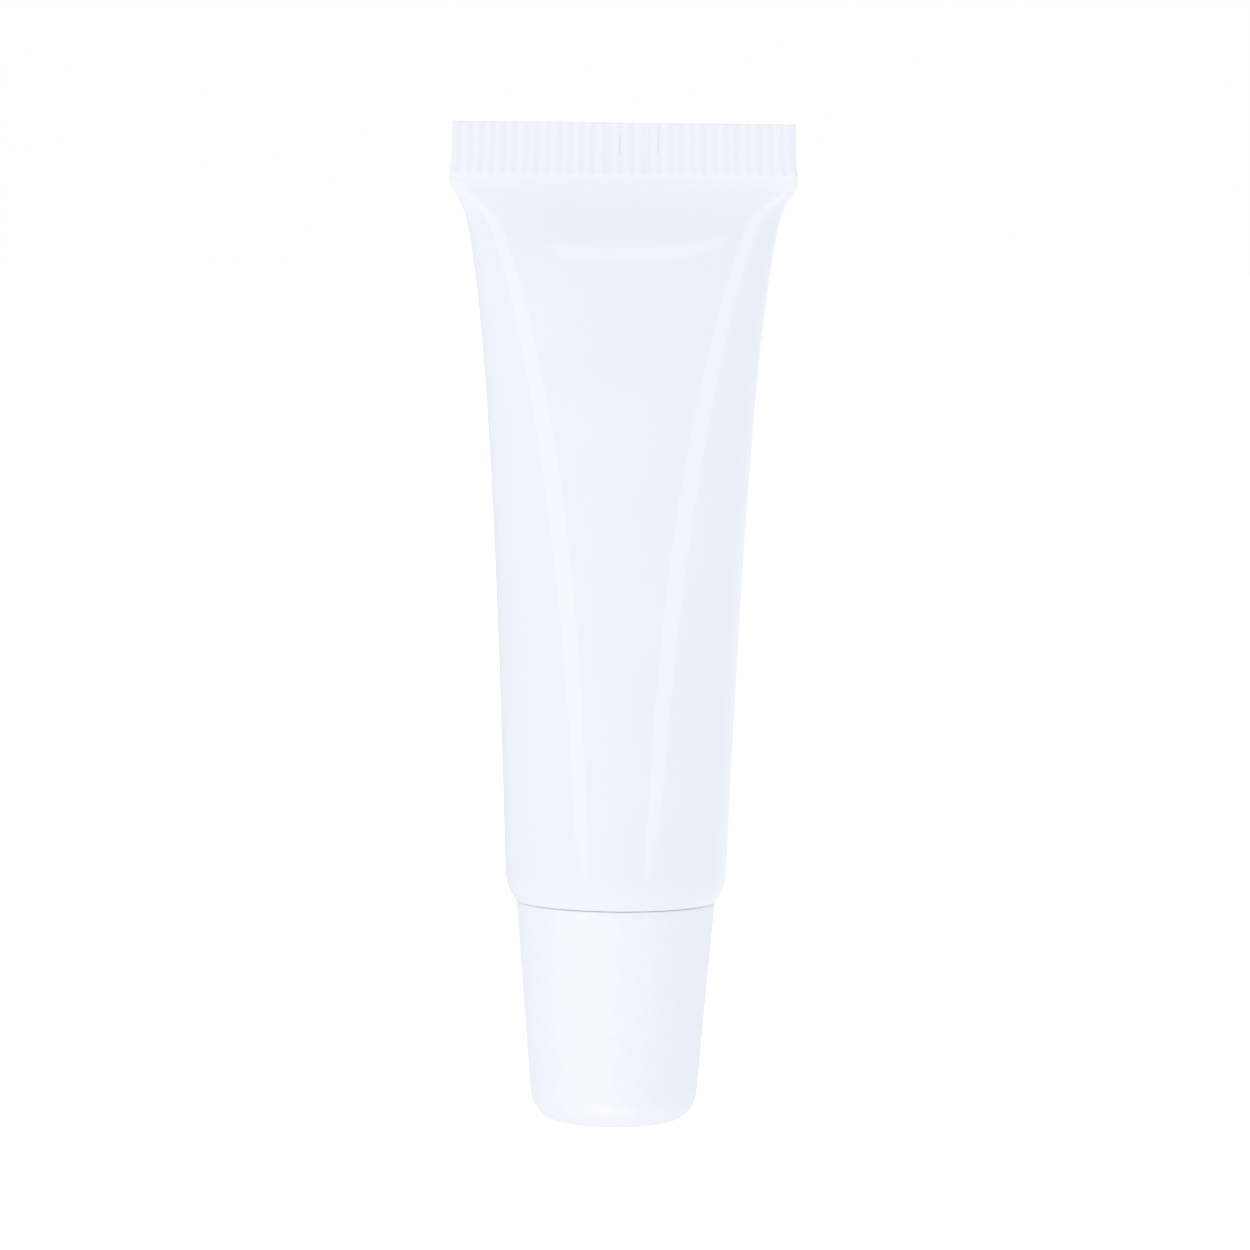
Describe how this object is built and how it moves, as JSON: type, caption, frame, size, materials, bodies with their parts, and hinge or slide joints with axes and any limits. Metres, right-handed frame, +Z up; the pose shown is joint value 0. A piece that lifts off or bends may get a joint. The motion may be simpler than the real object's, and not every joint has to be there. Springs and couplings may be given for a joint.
{
  "type": "lip balm squeeze tube",
  "caption": "Soft white squeeze tube of lip balm with a crimped ribbed tail, standing on its tapered screw cap, with a slanted nozzle inside the cap.",
  "frame": {"origin": "centre of the cap's flat end, on the surface it stands on", "axes": "+Z up along the tube's axis from cap to crimped tail, +X along the tail's width, front faces -Y"},
  "size_m": [0.0304, 0.019, 0.0875],
  "materials": {
    "cap_plastic": "satin white polypropylene",
    "head_plastic": "gloss white polyethylene",
    "sleeve_plastic": "gloss cool white soft polyethylene",
    "balm": "soft translucent ivory wax"
  },
  "bodies": {
    "cap": {"screw_cap": "cap_plastic"},
    "riser": {"nozzle_balm": "balm"},
    "tube": {"tube_sleeve": "sleeve_plastic", "tube_head": "head_plastic", "balm": "balm"}
  },
  "joints": [
    {"name": "rise", "type": "slide", "parent": "cap", "child": "riser", "axis": [0, 0, 1], "range_m": [0, 0.0176]},
    {"name": "turn", "type": "hinge", "parent": "riser", "child": "tube", "pos_m": [0, 0, 0], "axis": [0, 0, 1], "range_deg": [0, 1260]}
  ],
  "couplings": [
    {"joint": "rise", "follows": "turn", "m_per_rad": 0.00079577}
  ]
}
